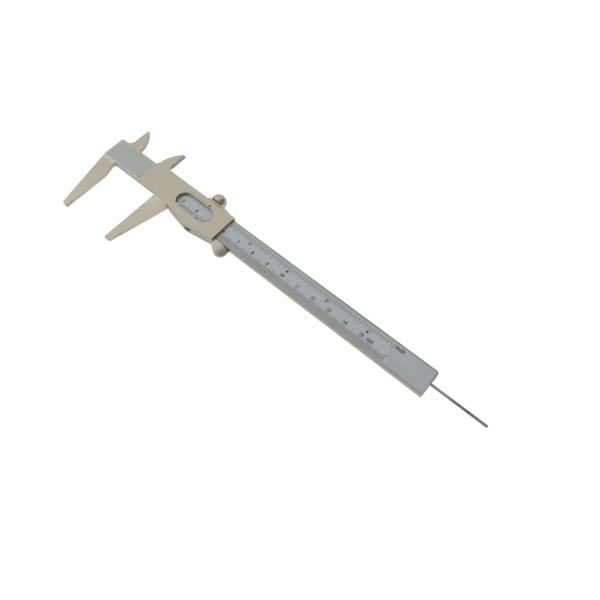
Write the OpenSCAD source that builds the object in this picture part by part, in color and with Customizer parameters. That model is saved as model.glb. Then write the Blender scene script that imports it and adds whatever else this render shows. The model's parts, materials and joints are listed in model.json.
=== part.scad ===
// Vernier caliper for 150 mm and 6 inches, with outside jaws, inside blades and a depth rod.
// The shapes are drawn in the beam's frame: x runs along the beam from the fixed outside
// measuring face, y runs up from the beam's lower edge, z runs up from the table.
// The finished pieces are then moved so that the origin is the middle of that measuring face.

/* [Beam] */
// Width of the beam
beam_w = 14.4; // [12.5:0.1:18]
// Thickness of the beam
beam_t = 4; // [3.4:0.1:5]
// Length of the beam on the right of the fixed measuring face
beam_reach = 205.6; // [190:0.2:240]
// Length of the beam on the left of the fixed measuring face
beam_tail = 10.8; // [9:0.1:13]
// Chamfer along the long edges of the beam
beam_chamfer = 0.35; // [0.1:0.05:0.6]
// Corner radius at the ends of the beam
beam_corner = 1.8; // [0.5:0.1:2.2]

/* [Outside jaws] */
// Opening of the jaws as drawn
opening = 30.6; // [5:0.1:120]
// Reach of the outside jaws below the beam
jaw_reach = 36.2; // [28:0.1:45]
// Width of the moving outside jaw at its root
jaw_root_w = 11; // [9:0.1:12]
// Straight part of an outside jaw's outer edge next to the beam
jaw_shoulder = 2; // [1:0.1:4]
// Width of an outside jaw at its tip
jaw_tip_w = 3.5; // [2.6:0.1:4.5]
// Radius at the outer corner of an outside jaw's tip
jaw_tip_r = 1.7; // [0.8:0.1:2.2]
// Thickness of the jaws
jaw_t = 2.2; // [1.8:0.1:2.4]
// Drop from the scale face of the beam to the front of the jaws
jaw_drop = 0.9; // [0.6:0.1:1.2]
// Length of the ramp between the beam's face and a fixed jaw's face
jaw_ramp = 1.5; // [0.8:0.1:2]
// Length of the reliefs above the measuring faces, from the beam's lower edge
relief_len = 8.7; // [6:0.1:12]
// Depth of the relief behind the fixed measuring face
relief_d = 2.1; // [1.4:0.1:3]
// Depth of the relief behind the moving measuring face
moving_relief_d = 1.3; // [1:0.1:2]
// Radius at the top of the reliefs
relief_r = 1.2; // [0.8:0.1:1.4]
// Distance from the beam to the start of the slope on the moving jaw
slope_start = 1.6; // [0.6:0.1:2.4]
// Distance from the beam to the end of the slope on the moving jaw
slope_end = 8; // [5:0.1:12]

/* [Inside blades] */
// Reach of the inside blades above the beam
blade_reach = 13.4; // [10:0.1:16]
// Distance from the outside measuring faces to the inside measuring edges
blade_offset = 4.8; // [4:0.1:5.6]
// Width of an inside blade at its root
blade_root_w = 7; // [6:0.1:8]
// Width of an inside blade at its tip
blade_tip_w = 0.9; // [0.6:0.1:1.5]
// Radius of the curved back of an inside blade
blade_back_r = 21; // [15:0.5:40]
// Height above the beam where the curved back starts
blade_belly = 2.5; // [1.5:0.1:4]
// Thickness of the moving inside blade
moving_blade_t = 2; // [1.5:0.1:2.4]
// Space between the two inside blades as they pass
blade_gap = 0.1; // [0.06:0.02:0.3]
// Width of the bevel on an inside measuring edge
edge_bevel = 0.7; // [0.5:0.1:2]
// Land left on an inside measuring edge
edge_land = 0.5; // [0.3:0.1:0.8]
// Fillet radius on the measuring side of the fixed blade's root
blade_fillet = 3.5; // [1:0.1:4]
// Fillet radius on the back of the fixed blade's root
blade_back_fillet = 1.6; // [0.8:0.1:2]
// Radius of the undercut at the moving blade's root
undercut_r = 1; // [0.6:0.1:1.3]

/* [Slider] */
// Length of the slider from the moving measuring face to its right end
frame_len = 44.8; // [43:0.1:52]
// Thickness of the slider's front wall
front_t = 1.5; // [1.4:0.1:3]
// Thickness of the slider's back wall
back_t = 1; // [0.8:0.1:1.6]
// Gap between the beam's faces and the slider's walls
run_gap = 0.08; // [0.05:0.01:0.15]
// Gap between the beam's edges and the slider's rails
side_gap = 0.12; // [0.08:0.01:0.2]
// Thickness of the upper rail
roof_t = 0.8; // [0.6:0.1:1.4]
// Distance from the moving measuring face to the start of the upper rail
roof_start = 6; // [5.5:0.1:9]
// Chamfer along the slider's upper front edge
roof_chamfer = 0.6; // [0.2:0.1:0.9]
// Width of the lower rail next to the moving jaw
rail_left_w = 1.6; // [1:0.1:2.2]
// Width of the lower rail at its widest point
rail_mid_w = 4.9; // [4:0.1:6]
// Width of the lower rail at its right end
rail_right_w = 2.1; // [2:0.1:4]
// Distance from the slider's right end to the widest point of the lower rail
rail_mid_back = 17.3; // [16:0.1:20]
// Reach of the slider's cheek left of the moving face, at its lower corner
cheek_low = 12.4; // [9:0.1:13]
// Reach of the slider's cheek left of the moving face, at its upper corner
cheek_high = 13.3; // [12:0.1:15]
// Depth of the cheek below the beam's lower edge
cheek_drop = 1; // [0.4:0.1:1.4]
// Bevel at the lower corner of the cheek
cheek_corner = 1.5; // [0.5:0.1:3]

/* [Sight window] */
// Length of the sight window
window_len = 24; // [20:0.1:28]
// Height of the sight window
window_h = 9.8; // [8:0.1:11]
// Distance from the slider's right end to the window
window_back = 8.8; // [6:0.1:10]
// Offset of the window's middle from the beam's middle
window_shift = -1; // [-1.4:0.1:1]
// Width of the vernier's bevel on the window's lower side
window_bevel = 2.1; // [1:0.1:2.6]
// Width of the bevel on the window's upper side
window_ease = 0.2; // [0.1:0.1:0.8]
// Thickness left below the bevel
window_lip = 0.4; // [0.2:0.1:0.8]

/* [Clamp] */
// Distance from the slider's right end to the clamp screw
clamp_back = 14.9; // [13:0.1:18]
// Diameter of the clamp screw's shank
clamp_d = 3; // [2:0.1:3.4]
// Clearance around the clamp screw's shank
clamp_gap = 0.05; // [0.02:0.01:0.1]
// Diameter of the clamp screw's ball head
clamp_head_d = 8.6; // [6:0.1:8.7]
// Height of the ball head's middle above its flat seat
ball_lift = 1.4; // [0.5:0.1:2.5]
// Gap between the head and the boss at rest
clamp_lift = 0.2; // [0.15:0.05:0.6]
// Height of the clamp axis above the middle of the beam's thickness
clamp_rise = 0.5; // [0.3:0.1:0.8]
// Height of the boss above the upper rail
boss_h = 1.3; // [1.2:0.1:3]
// Wall of the boss beside the clamp shoe
boss_wall = 0.8; // [0.5:0.1:2]
// Length of the ramp on the left of the boss
boss_rise = 1; // [0.5:0.1:3]
// Length of the boss ahead of the clamp shoe's room
boss_ahead = 1.4; // [0:0.1:3]
// Length of the ramp on the right of the boss
boss_run = 6; // [1:0.1:8]
// Drop from the slider's front to the front of the boss
boss_drop = 0.9; // [0.7:0.1:2]
// Length of the clamp shoe
shoe_len = 7; // [5:0.1:9]
// Width of the clamp shoe
shoe_w = 2.8; // [2:0.1:3]
// Thickness of the clamp shoe
shoe_t = 0.8; // [0.5:0.1:1]
// Gap between the shoe and the beam at rest
shoe_lift = 0.15; // [0.13:0.01:0.3]
// Clearance around the shoe
shoe_gap = 0.05; // [0.02:0.01:0.1]

/* [Friction spring] */
// Length of the leaf between its feet
spring_len = 16; // [12:0.1:16.4]
// Rise of the bowed leaf
spring_rise = 1.6; // [1:0.1:1.7]
// Width of the leaf
spring_w = 2.8; // [2:0.1:3]
// Thickness of the leaf
spring_t = 0.3; // [0.2:0.05:0.4]
// Gap between the crest of the leaf and the beam
spring_lift = 0.06; // [0.04:0.01:0.15]
// Clearance around the leaf
spring_gap = 0.1; // [0.05:0.05:0.3]
// Length of the slot in the lower rail
slot_len = 4.6; // [3:0.1:6]
// Distance from the widest point of the lower rail to the slot's middle
slot_ahead = 1.3; // [0:0.1:2]
// Height of the slot in the lower rail
slot_h = 2; // [1:0.1:2.2]

/* [Thumb rest] */
// Reach of the thumb rest beyond the slider's right end
thumb_len = 9.9; // [7:0.1:12]
// Depth of the thumb rest below the beam's lower edge
thumb_drop = 6.5; // [5.4:0.1:8]
// Depth of the thumb rest's root below the slider's edge
thumb_step = 1.2; // [0:0.1:1.4]
// Radius of the thumb rest's outer corner
thumb_r = 3.2; // [2:0.1:3.4]
// Thickness of the thumb rest's tang
thumb_t = 2.5; // [1.5:0.1:3]
// Rise of the thumb rest's domed front above its tang
thumb_lift = 2.4; // [0:0.1:3]
// Radius of the thumb rest's domed front
thumb_dome_r = 15; // [10:0.1:40]
// Distance from the slider's end to the highest place of the thumb rest
thumb_crown = 1.5; // [0:0.1:5]
// Height of the thumb rest's underside above that of its tang
thumb_hollow = 1.2; // [0:0.1:1.3]
// Height of the thumb rest above the slider's back
thumb_rise = 0.6; // [0.4:0.1:1]
// Length of the tang in the lower rail
tang_len = 7.2; // [6:0.1:7.6]
// Width of the tang
tang_w = 1.2; // [1:0.1:1.3]
// Wall between the tang and the beam
tang_wall = 0.35; // [0.3:0.05:0.5]
// Clearance around the tang
tang_gap = 0.03; // [0.02:0.01:0.05]
// Diameter of the rivets through the tang
rivet_d = 0.6; // [0.4:0.1:0.8]
// Distance between the rivets
rivet_pitch = 3.8; // [2.5:0.1:4]

/* [Back cover] */
// Thickness of the back cover
cover_t = 0.8; // [0.6:0.1:1.2]
// Inset of the cover from the slider's right end and from the beam's edges
cover_inset = 1.2; // [0.8:0.1:2]
// Distance from the moving measuring face to the cover's left end
cover_start = 5; // [4:0.1:8]
// Corner radius of the cover
cover_corner = 1.5; // [0.5:0.1:2]
// Distance from the cover's edges to its screws
screw_inset = 2; // [1.7:0.1:2.6]
// Diameter of the small screws' shanks
screw_d = 1.4; // [1:0.1:1.6]
// Diameter of the small screws' heads
screw_head_d = 2.6; // [2:0.1:3]
// Height of the small screws' countersunk heads
screw_head_h = 0.5; // [0.3:0.05:0.55]
// Depth of the small screws' heads below the plate that they hold
screw_sink = 0.05; // [0.02:0.01:0.1]
// Width of the small screws' slots
screw_slot_w = 0.4; // [0.3:0.05:0.6]
// Depth of the small screws' slots
screw_slot_d = 0.25; // [0.15:0.05:0.35]
// Clearance around the small screws
screw_gap = 0.05; // [0.02:0.01:0.1]

/* [Depth rod] */
// Diameter of the depth rod
rod_d = 1.4; // [0.9:0.05:1.6]
// Offset of the rod from the beam's middle
rod_shift = 0.9; // [-1:0.1:1]
// Clearance of the rod in its groove
rod_gap = 0.2; // [0.15:0.05:0.4]
// Distance from the moving measuring face to the rod's bent foot
rod_foot = 20; // [14:0.1:26]
// Clearance of the foot in the back wall
foot_gap = 0.02; // [0.01:0.01:0.05]
// Length of the keeper at the beam's end
keeper_len = 7; // [5.5:0.1:10]
// Width of the keeper
keeper_w = 9.4; // [8:0.1:10.4]
// Inset of the keeper from the beam's end
keeper_inset = 1; // [0.6:0.1:2]
// Distance between the keeper's screws
keeper_pitch = 5.6; // [5:0.1:5.8]
// Depth of the keeper's screws in the beam
keeper_bite = 2; // [1.2:0.1:2.2]

/* [Hidden] */
$fn = 96;
// Small overshoot of cuts past a face
eps = 0.05;
// Straight steps around each end of the sight window
window_steps = 24;

// Levels above the table
back_z0 = cover_t;
back_z1 = back_z0 + back_t;
beam_z0 = back_z1 + run_gap;
beam_z1 = beam_z0 + beam_t;
front_z0 = beam_z1 + run_gap;
front_z1 = front_z0 + front_t;
jaw_z1 = beam_z1 - jaw_drop;
jaw_z0 = jaw_z1 - jaw_t;
blade_z0 = jaw_z1 + blade_gap;
blade_z1 = blade_z0 + moving_blade_t;
clamp_z = beam_z0 + beam_t / 2 + clamp_rise;
boss_z1 = front_z1 - boss_drop;
thumb_z0 = back_z0 + thumb_rise;
thumb_z1 = thumb_z0 + thumb_t;
lug_z0 = thumb_z0 + thumb_hollow;
lug_z1 = thumb_z1 + thumb_lift;
beam_mid_z = (beam_z0 + beam_z1) / 2;

// Lines across the beam
rail_y = -side_gap;
roof_y0 = beam_w + side_gap;
roof_y1 = roof_y0 + roof_t;
boss_y = roof_y1 + boss_h;
rod_y = beam_w / 2 + rod_shift;
groove_w = rod_d + 2 * rod_gap;
groove_d = rod_d + 2 * rod_gap;
rod_z = beam_z0 + rod_gap + rod_d / 2;
window_y = beam_w / 2 + window_shift;
tang_y1 = rail_y - tang_wall;
tang_y = tang_y1 - tang_w / 2;
spring_floor = -(spring_lift + spring_rise + spring_t);

// Places along the slider, from the moving measuring face
rail_mid_x = frame_len - rail_mid_back;
clamp_x = frame_len - clamp_back;
window_x = frame_len - window_back - window_len / 2;
tang_x = frame_len - tang_len;
cover_end = frame_len - cover_inset;
rivet_x = frame_len - tang_len / 2;

// Places along the beam
keeper_x1 = beam_reach - keeper_inset;
keeper_x0 = keeper_x1 - keeper_len;
groove_start = rod_foot - groove_w;

// Radius of an arc from its chord and its rise
function arc_radius(chord, rise) = (chord * chord / 4 + rise * rise) / (2 * rise);

// Centre of an arc of radius r from p to q, on the right-hand side of that direction
function arc_centre(p, q, r) =
    let (d = q - p, half = norm(d) / 2)
    (p + q) / 2 - [-d.y, d.x] / norm(d) * sqrt(r * r - half * half);

// Moves a piece from the beam's frame to the datum in the middle of the fixed measuring face
module place() {
    translate([0, (jaw_reach + relief_len) / 2, -(jaw_z0 + jaw_z1) / 2]) children();
}

module on_slider() {
    place() translate([opening, 0, 0]) children();
}

// Outline extruded between two levels
module slab(z0, z1) {
    translate([0, 0, z0]) linear_extrude(z1 - z0) children();
}

// Outline in y and z extruded along the beam from x0 to x1
module bar_along(x0, x1) {
    translate([x0, 0, 0]) rotate([90, 0, 90]) linear_extrude(x1 - x0) children();
}

// Outline in x and z extruded across the beam from y0 to y1
module bar_across(y0, y1) {
    translate([0, y1, 0]) rotate([90, 0, 0]) linear_extrude(y1 - y0) children();
}

module rectangle(x0, y0, x1, y1) {
    translate([x0, y0]) square([x1 - x0, y1 - y0]);
}

module rounded_rectangle(x0, y0, x1, y1, r) {
    rectangle(x0 + r, y0, x1 - r, y1);
    rectangle(x0, y0 + r, x1, y1 - r);
    for (x = [x0 + r, x1 - r], y = [y0 + r, y1 - r]) translate([x, y]) circle(r);
}

// Fill for the corner between the positive x and y axes
module corner_fillet(r) {
    difference() {
        square(r);
        translate([r, r]) circle(r);
    }
}

// Shank and countersunk head of a screw that points up from just above the table to z1
module screw_body(z1, grow) {
    r = screw_d / 2 + grow;
    head_r = screw_head_d / 2 + grow;
    translate([0, 0, screw_sink]) {
        cylinder(h = z1 - screw_sink, r = r);
        cylinder(h = screw_head_h, r1 = head_r, r2 = r);
    }
}

module small_screw(z1) {
    difference() {
        screw_body(z1, 0);
        bar_along(-screw_head_d, screw_head_d)
            rectangle(-screw_slot_w / 2, 0, screw_slot_w / 2, screw_sink + screw_slot_d);
    }
}

// Countersunk hole through a plate that lies on the table
module small_screw_hole(z1) {
    screw_body(z1, screw_gap);
    translate([0, 0, -eps]) cylinder(h = screw_sink + 2 * eps, d = screw_head_d + 2 * screw_gap);
}

// Outside jaw with its measuring face on x = 0 and its body towards positive x
module jaw_outline(root_w) {
    tip_y = -(jaw_reach - jaw_tip_r);
    polygon([
        [0, 0], [root_w, 0], [root_w, -jaw_shoulder], [jaw_tip_w, tip_y], [0, tip_y]
    ]);
    rectangle(0, -jaw_reach, jaw_tip_w - jaw_tip_r, tip_y);
    intersection() {
        translate([jaw_tip_w - jaw_tip_r, tip_y]) circle(jaw_tip_r);
        rectangle(0, -jaw_reach, jaw_tip_w, tip_y);
    }
}

// Inside blade with its measuring edge on x = 0, rising from the beam's upper edge at y = 0
module blade_outline(depth) {
    tip = [blade_tip_w, blade_reach];
    belly = [blade_root_w, blade_belly];
    intersection() {
        rectangle(0, -depth, blade_root_w, blade_reach);
        translate(arc_centre(tip, belly, blade_back_r)) circle(blade_back_r);
    }
}

// Relief of the given depth behind a measuring face on x = 0, rounded off at level top
module relief_outline(depth, top) {
    polygon([
        [0, -relief_len], [-depth, top - relief_r], [eps, top - relief_r], [eps, -relief_len]
    ]);
    translate([relief_r - depth, top - relief_r]) circle(relief_r);
    rectangle(relief_r - depth, top - 2 * relief_r, eps, top);
}

module fixed_jaw_outline() {
    difference() {
        mirror([1, 0]) jaw_outline(beam_tail);
        relief_outline(relief_d, 0);
    }
}

module fixed_blade_outline() {
    translate([-blade_offset, beam_w]) {
        blade_outline(beam_w / 4);
        mirror([1, 0]) corner_fillet(blade_fillet);
        translate([blade_root_w, 0]) corner_fillet(blade_back_fillet);
    }
}

// Ramps in y and z from the beam's two faces down to the faces of a fixed jaw below it
module jaw_ramp_outline() {
    polygon([
        [beam_chamfer, beam_z1], [-jaw_ramp, jaw_z1], [-jaw_ramp, jaw_z0], [beam_chamfer, beam_z0]
    ]);
}

module beam_bar() {
    intersection() {
        bar_along(-beam_tail, beam_reach) polygon([
            [beam_chamfer, beam_z0], [beam_w - beam_chamfer, beam_z0],
            [beam_w, beam_z0 + beam_chamfer], [beam_w, beam_z1 - beam_chamfer],
            [beam_w - beam_chamfer, beam_z1], [beam_chamfer, beam_z1],
            [0, beam_z1 - beam_chamfer], [0, beam_z0 + beam_chamfer]
        ]);
        slab(beam_z0, beam_z1) {
            rounded_rectangle(-beam_tail, 0, beam_reach, beam_w, beam_corner);
            rectangle(-beam_tail, 0, beam_reach, 2 * beam_corner);
        }
    }
}

module fixed_jaw() {
    slab(jaw_z0, jaw_z1) {
        fixed_jaw_outline();
        rectangle(-beam_tail, 0, 0, beam_w / 4);
    }
    intersection() {
        slab(beam_z0, beam_z1) {
            fixed_jaw_outline();
            rectangle(-beam_tail, 0, 0, beam_chamfer);
        }
        bar_along(-beam_tail, 0) jaw_ramp_outline();
    }
}

module fixed_blade() {
    bevel_root = beam_w + blade_fillet;
    difference() {
        slab(jaw_z0, jaw_z1) fixed_blade_outline();
        bar_across(bevel_root, beam_w + blade_reach + eps) polygon([
            [-blade_offset - eps, jaw_z1 - edge_land],
            [-blade_offset, jaw_z1 - edge_land],
            [-blade_offset + edge_bevel, jaw_z0],
            [-blade_offset + edge_bevel, jaw_z0 - eps],
            [-blade_offset - eps, jaw_z0 - eps]
        ]);
    }
}

// Places of the keeper's screws
module at_keeper_screws() {
    for (side = [-1, 1])
        translate([(keeper_x0 + keeper_x1) / 2, rod_y + side * keeper_pitch / 2, 0]) children();
}

module main_beam() {
    color("silver") place() difference() {
        union() {
            beam_bar();
            fixed_jaw();
            fixed_blade();
        }
        slab(beam_z0 - eps, beam_z0 + groove_d)
            rectangle(groove_start, rod_y - groove_w / 2, beam_reach + eps, rod_y + groove_w / 2);
        at_keeper_screws() translate([0, 0, beam_z0 - eps])
            cylinder(h = keeper_bite + screw_gap + eps, d = screw_d + 2 * screw_gap);
    }
}

module rod_keeper() {
    color("gainsboro") place() difference() {
        slab(0, beam_z0) rounded_rectangle(
            keeper_x0, rod_y - keeper_w / 2, keeper_x1, rod_y + keeper_w / 2, beam_corner
        );
        at_keeper_screws() small_screw_hole(beam_z0 + eps);
    }
}

module keeper_screws() {
    color("dimgray") place() at_keeper_screws() small_screw(beam_z0 + keeper_bite);
}

// Lower rail of the slider, seen from the front
module rail_outline() {
    polygon([
        [jaw_root_w, rail_y], [frame_len, rail_y], [frame_len, -rail_right_w],
        [rail_mid_x, -rail_mid_w], [jaw_root_w, -rail_left_w]
    ]);
}

// Front wall of the slider with its cheek, without the window, jaw and blade
module front_outline() {
    polygon([
        [0, -cheek_drop], [cheek_corner - cheek_low, -cheek_drop], [-cheek_low, cheek_corner - cheek_drop],
        [-cheek_high, beam_w - blade_belly], [-blade_offset - blade_root_w, roof_y1],
        [frame_len, roof_y1], [frame_len, rail_y], [jaw_root_w, rail_y], [jaw_root_w, -cheek_drop]
    ]);
    rail_outline();
}

module moving_jaw() {
    difference() {
        slab(jaw_z0, front_z1) difference() {
            jaw_outline(jaw_root_w);
            rectangle(-eps, rail_y, jaw_root_w + eps, eps);
            mirror([1, 0]) relief_outline(moving_relief_d, -cheek_drop);
        }
        bar_along(-eps, jaw_root_w + eps) polygon([
            [-slope_start, front_z1], [-slope_end, jaw_z1], [-jaw_reach - eps, jaw_z1],
            [-jaw_reach - eps, front_z1 + eps], [-slope_start, front_z1 + eps]
        ]);
    }
}

// Moving blade: its measuring edge faces right, its back continues the cheek
module moving_blade() {
    bevel_root = roof_y1 + 2 * undercut_r;
    difference() {
        slab(blade_z0, blade_z1) translate([-blade_offset, beam_w]) mirror([1, 0]) difference() {
            blade_outline(0);
            rectangle(-eps, -eps, blade_root_w + eps, side_gap);
        }
        bar_across(bevel_root, beam_w + blade_reach + eps) polygon([
            [-blade_offset + eps, blade_z0 + edge_land],
            [-blade_offset, blade_z0 + edge_land],
            [-blade_offset - edge_bevel, blade_z1],
            [-blade_offset - edge_bevel, blade_z1 + eps],
            [-blade_offset + eps, blade_z1 + eps]
        ]);
    }
}

// Oval around the sight window's middle, between two lines across the beam
module window_outline(y0, y1) {
    r = (y1 - y0) / 2;
    half = (window_len - window_h) / 2;
    translate([window_x, y0 + r]) polygon([
        for (side = [1, -1], step = [0 : window_steps])
            let (turn = 180 * step / window_steps)
            side * [half + r * sin(turn), -r * cos(turn)]
    ]);
}

// Sight window with a wide bevel on its lower side, which carries the vernier
module window_cut() {
    y0 = window_y - window_h / 2;
    y1 = window_y + window_h / 2;
    lip_z = front_z0 + window_lip;
    slab(front_z0 - eps, lip_z + eps) window_outline(y0 + window_bevel, y1 - window_ease);
    hull() {
        slab(lip_z, lip_z + eps) window_outline(y0 + window_bevel, y1 - window_ease);
        slab(front_z1, front_z1 + eps) window_outline(y0, y1);
    }
}

module boss() {
    x0 = clamp_x - shoe_len / 2 - boss_wall;
    x1 = clamp_x + shoe_len / 2 + boss_wall + boss_ahead;
    slab(back_z0, boss_z1) polygon([
        [x0 - boss_rise, roof_y0], [x0 - boss_rise, roof_y1], [x0, boss_y], [x1, boss_y],
        [min(x1 + boss_run, frame_len), roof_y1], [min(x1 + boss_run, frame_len), roof_y0]
    ]);
}

// Pocket of the shoe above the beam and the threaded hole above it
module clamp_cut() {
    pocket_y = beam_w + shoe_lift + shoe_t + shoe_gap;
    half_l = shoe_len / 2 + shoe_gap;
    half_w = shoe_w / 2 + shoe_gap;
    translate([clamp_x, 0, clamp_z]) {
        bar_across(beam_w, pocket_y) rectangle(-half_l, -half_w, half_l, half_w);
        bar_across(beam_w, boss_y + eps) circle(clamp_d / 2 + clamp_gap);
    }
}

// Pocket of the leaf in the lower rail and the slot that opens it to the outside
module spring_cut() {
    half_l = spring_len / 2 + spring_gap;
    half_w = spring_w / 2 + spring_gap;
    slot_r = slot_h / 2 - eps;
    translate([rail_mid_x, 0, beam_mid_z]) {
        bar_across(spring_floor, 0) rectangle(-half_l, -half_w, half_l, half_w);
        bar_across(-rail_mid_w - eps, spring_floor + eps)
            translate([slot_ahead, 0])
                rounded_rectangle(-slot_len / 2, -slot_h / 2, slot_len / 2, slot_h / 2, slot_r);
    }
}

module tang_cut() {
    slab(thumb_z0 - tang_gap, thumb_z1 + tang_gap) rectangle(
        tang_x - tang_gap, tang_y - tang_w / 2 - tang_gap, frame_len + eps, tang_y + tang_w / 2 + tang_gap
    );
}

module at_rivets() {
    for (side = [-1, 1]) translate([rivet_x + side * rivet_pitch / 2, tang_y, 0]) children();
}

module at_cover_screws() {
    for (x = [cover_start + screw_inset, cover_end - screw_inset])
        for (y = [cover_inset + screw_inset, beam_w - cover_inset - screw_inset])
            translate([x, y, 0]) children();
}

module slider_frame() {
    color("tan") on_slider() difference() {
        union() {
            slab(front_z0, front_z1) front_outline();
            slab(back_z0, front_z1) rail_outline();
            slab(back_z0, front_z1) rectangle(roof_start, roof_y0, frame_len, roof_y1);
            slab(back_z0, back_z1) {
                rail_outline();
                rectangle(roof_start, rail_y, frame_len, roof_y1);
            }
            moving_jaw();
            moving_blade();
            boss();
        }
        window_cut();
        clamp_cut();
        spring_cut();
        tang_cut();
        at_rivets() slab(back_z0 - eps, thumb_z1) circle(rivet_d / 2 + tang_gap);
        at_cover_screws() slab(back_z0 - eps, back_z1 + eps) circle(screw_d / 2 + screw_gap);
        translate([rod_foot, rod_y, 0]) slab(back_z0 - eps, back_z1 + eps) circle(rod_d / 2 + foot_gap);
        translate([-blade_offset + undercut_r / 2, roof_y1 + undercut_r, 0])
            slab(blade_z0 - eps, front_z1 + eps) circle(undercut_r);
        bar_along(-blade_offset + undercut_r, frame_len + eps) polygon([
            [roof_y1 - roof_chamfer, front_z1 + eps], [roof_y1 - roof_chamfer, front_z1],
            [roof_y1, front_z1 - roof_chamfer], [roof_y1 + eps, front_z1 - roof_chamfer],
            [roof_y1 + eps, front_z1 + eps]
        ]);
    }
}

module slider_back_cover() {
    color("lightgray") on_slider() difference() {
        slab(0, cover_t) rounded_rectangle(
            cover_start, cover_inset, cover_end, beam_w - cover_inset, cover_corner
        );
        at_cover_screws() small_screw_hole(cover_t + eps);
    }
}

module cover_screws() {
    color("dimgray") on_slider() at_cover_screws() small_screw(back_z1 - screw_gap);
}

// Wire with a foot bent down into the back wall; its tip is level with the beam's end when shut
module depth_rod() {
    color("gray") on_slider() translate([rod_foot, rod_y, 0]) {
        translate([0, 0, back_z0]) cylinder(h = rod_z - back_z0, d = rod_d);
        translate([0, 0, rod_z]) sphere(d = rod_d);
        translate([0, 0, rod_z]) rotate([0, 90, 0]) cylinder(h = beam_reach - rod_foot, d = rod_d);
    }
}

// Rounded lug with a domed front beside the beam
module thumb_lug() {
    x1 = frame_len + thumb_len;
    centre = [x1 - thumb_r, thumb_r - thumb_drop];
    intersection() {
        slab(lug_z0, lug_z1) {
            polygon([
                [frame_len, rail_y], [frame_len, -rail_right_w - thumb_step], [centre.x - thumb_r / 2, -thumb_drop],
                [centre.x, -thumb_drop], centre, [x1, centre.y], [x1, rail_y]
            ]);
            translate(centre) circle(thumb_r);
        }
        translate([frame_len + thumb_crown, -thumb_drop / 2, lug_z1 - thumb_dome_r]) sphere(thumb_dome_r);
    }
}

// Lug with its tang in the slider's lower rail
module thumb_rest() {
    color("tan") on_slider() difference() {
        union() {
            thumb_lug();
            slab(thumb_z0, thumb_z1)
                rectangle(tang_x, tang_y - tang_w / 2, frame_len + eps, tang_y + tang_w / 2);
        }
        at_rivets() slab(thumb_z0 - eps, thumb_z1 + eps) circle(rivet_d / 2 + tang_gap);
    }
}

module thumb_rest_rivets() {
    color("dimgray") on_slider() at_rivets() slab(back_z0, thumb_z1) circle(rivet_d / 2);
}

// Bowed leaf with its crest towards the beam's lower edge
module friction_spring() {
    outer_r = arc_radius(spring_len, spring_rise);
    color("darkgray") on_slider() translate([rail_mid_x, 0, 0])
        slab(beam_mid_z - spring_w / 2, beam_mid_z + spring_w / 2) intersection() {
            translate([0, -spring_lift - outer_r]) difference() {
                circle(outer_r);
                circle(outer_r - spring_t);
            }
            rectangle(-spring_len / 2, spring_floor, spring_len / 2, 0);
        }
}

module clamp_shoe() {
    y0 = beam_w + shoe_lift;
    color("goldenrod") on_slider() translate([clamp_x, 0, clamp_z])
        bar_across(y0, y0 + shoe_t) rectangle(-shoe_len / 2, -shoe_w / 2, shoe_len / 2, shoe_w / 2);
}

// Screw with a ball head, flat where it faces the boss; its end stands on the shoe
module clamp_screw() {
    ball_r = clamp_head_d / 2;
    end_y = beam_w + shoe_lift + shoe_t;
    head_y = boss_y + clamp_lift;
    color("tan") on_slider() translate([clamp_x, 0, clamp_z]) rotate([-90, 0, 0]) {
        translate([0, 0, end_y]) cylinder(h = head_y + ball_lift - end_y, d = clamp_d);
        translate([0, 0, head_y]) rotate_extrude() intersection() {
            rectangle(0, 0, ball_r, ball_lift + ball_r);
            translate([0, ball_lift]) circle(ball_r);
        }
    }
}

main_beam();
rod_keeper();
keeper_screws();
slider_frame();
slider_back_cover();
cover_screws();
depth_rod();
thumb_rest();
thumb_rest_rivets();
friction_spring();
clamp_shoe();
clamp_screw();
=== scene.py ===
"""Looks of a vernier caliper: rounded steel, filled scales, a ball-headed clamp screw and a plain stage."""

import json
import math

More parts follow.
